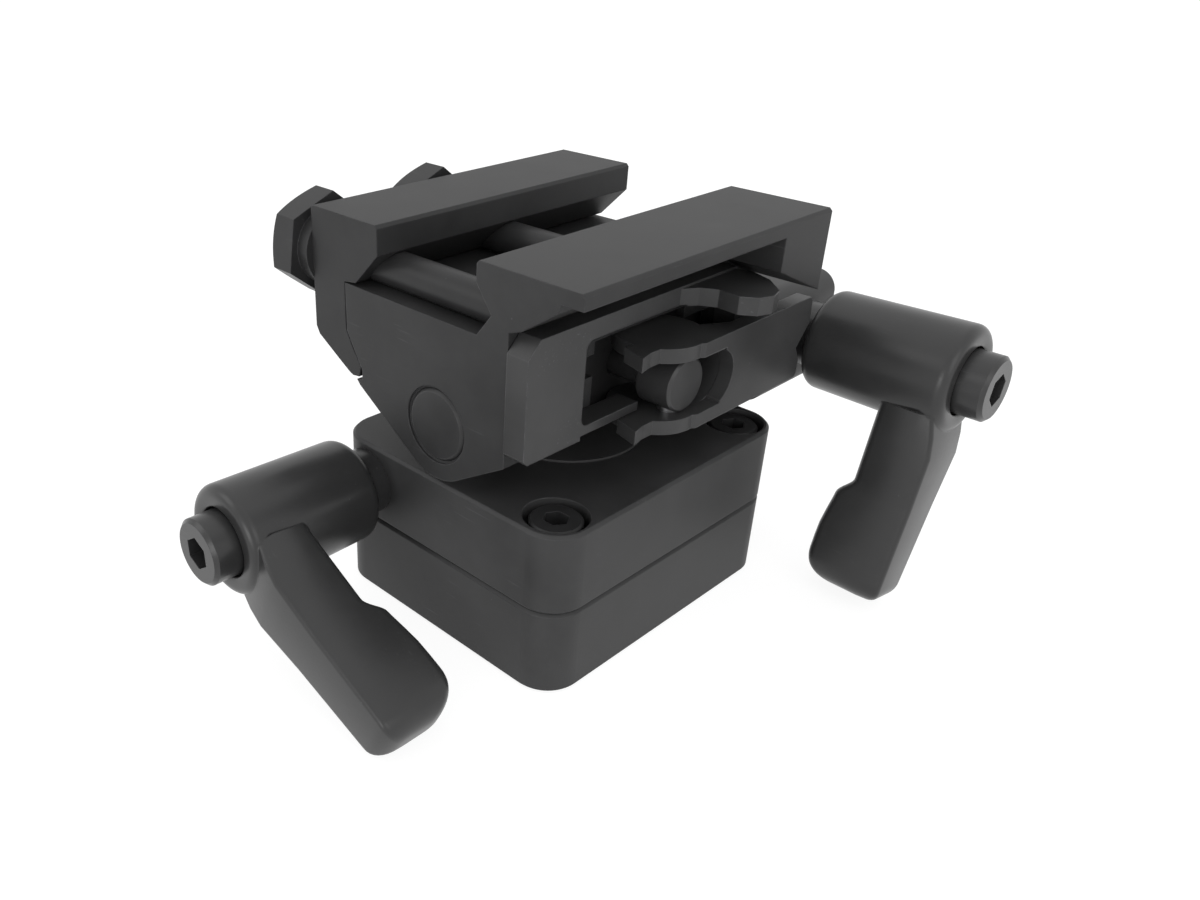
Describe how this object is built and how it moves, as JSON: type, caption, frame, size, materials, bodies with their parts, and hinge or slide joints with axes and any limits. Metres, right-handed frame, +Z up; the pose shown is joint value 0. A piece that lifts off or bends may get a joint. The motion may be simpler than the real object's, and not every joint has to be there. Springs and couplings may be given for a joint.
{
  "type": "gimbal tripod head",
  "caption": "Low gimbal tripod head: a base that pans on a tripod thread, a canting quick-release rail clamp, and ratchet levers that lock pan and cant.",
  "frame": {"origin": "centre of the base's underside, on the axis of the tripod thread at its mouth", "axes": "+Z up along the pan axis, +Y along the rail at rest, +X towards the quick-release lever"},
  "size_m": [0.0764, 0.097, 0.0564],
  "materials": {
    "base_black": "satin black anodised",
    "turret_black": "satin black anodised",
    "clamp_black": "satin black anodised",
    "quick_black": "satin black oxide",
    "handle_black": "semi-gloss black coat",
    "fastener_black": "black oxide",
    "bright_steel": "turned",
    "spring_steel": "drawn wire",
    "brass": "turned",
    "bearing_plastic": "moulded"
  },
  "bodies": {
    "base": {"base_plate": "base_black", "base_housing": "base_black", "housing_screws": "fastener_black", "tripod_bush": "bright_steel", "thrust_ring": "bearing_plastic"},
    "turret": {"turret": "turret_black"},
    "clamp": {"clamp_body": "clamp_black", "cant_pin": "fastener_black", "pin_clip": "fastener_black", "bar_spring": "spring_steel", "latch_spring": "spring_steel"},
    "bar": {"clamp_bar": "clamp_black", "cross_bolts": "fastener_black", "hex_nuts": "fastener_black", "draw_rod": "fastener_black", "lever_pivot_pin": "bright_steel"},
    "qd_lever": {"qd_lever": "quick_black"},
    "latch": {"latch_plate": "quick_black"},
    "pan_lever": {"pan_insert": "fastener_black", "pan_lever_screw": "fastener_black", "pan_lever_spring": "spring_steel"},
    "pan_handle": {"pan_handle": "handle_black"},
    "pan_shoe": {"pan_lock_shoe": "brass"},
    "cant_lever": {"cant_insert": "fastener_black", "cant_lever_screw": "fastener_black", "cant_lever_spring": "spring_steel"},
    "cant_handle": {"cant_handle": "handle_black"},
    "cant_shoe": {"cant_lock_shoe": "brass"}
  },
  "joints": [
    {"name": "pan", "type": "hinge", "parent": "base", "child": "turret", "pos_m": [0, 0, 0.024], "axis": [0, 0, 1], "range_deg": [-70, 120]},
    {"name": "cant", "type": "hinge", "parent": "turret", "child": "clamp", "pos_m": [0, 0, 0.0324], "axis": [0, 1, 0], "range_deg": [-25, 12]},
    {"name": "bar_slide", "type": "slide", "parent": "clamp", "child": "bar", "axis": [-1, 0, 0], "range_m": [0, 0.001], "deforming": ["bar_spring"]},
    {"name": "qd_lever", "type": "hinge", "parent": "bar", "child": "qd_lever", "pos_m": [0.0174, 0, 0.037], "axis": [0, 0, 1], "range_deg": [-60, 0]},
    {"name": "latch_slide", "type": "slide", "parent": "clamp", "child": "latch", "axis": [0, -1, 0], "range_m": [0, 0.002], "stiffness_N_per_m": 300, "springref_m": -0.002, "deforming": ["latch_spring"]},
    {"name": "pan_lever_turn", "type": "hinge", "parent": "base", "child": "pan_lever", "pos_m": [-0.0144, -0.02465, 0.0182], "axis": [0, -1, 0], "range_deg": [0, 120]},
    {"name": "pan_handle_lift", "type": "slide", "parent": "pan_lever", "child": "pan_handle", "axis": [0, -1, 0], "range_m": [0, 0.0028], "stiffness_N_per_m": 500, "springref_m": -0.002, "deforming": ["pan_lever_spring"]},
    {"name": "pan_shoe_slide", "type": "slide", "parent": "base", "child": "pan_shoe", "axis": [0, -1, 0], "range_m": [0, 0.00034]},
    {"name": "cant_lever_turn", "type": "hinge", "parent": "turret", "child": "cant_lever", "pos_m": [0.0164, 0.034, 0.0344], "axis": [1, 0, 0], "range_deg": [0, 120]},
    {"name": "cant_handle_lift", "type": "slide", "parent": "cant_lever", "child": "cant_handle", "axis": [1, 0, 0], "range_m": [0, 0.0028], "stiffness_N_per_m": 500, "springref_m": -0.002, "deforming": ["cant_lever_spring"]},
    {"name": "cant_shoe_slide", "type": "slide", "parent": "turret", "child": "cant_shoe", "axis": [1, 0, 0], "range_m": [0, 0.00034]}
  ],
  "couplings": [
    {"joint": "qd_lever", "follows": "bar_slide", "rad_per_m": -1047.1},
    {"joint": "pan_shoe_slide", "follows": "pan_lever_turn", "m_per_rad": 0.00015915},
    {"joint": "cant_shoe_slide", "follows": "cant_lever_turn", "m_per_rad": 0.00015915}
  ]
}
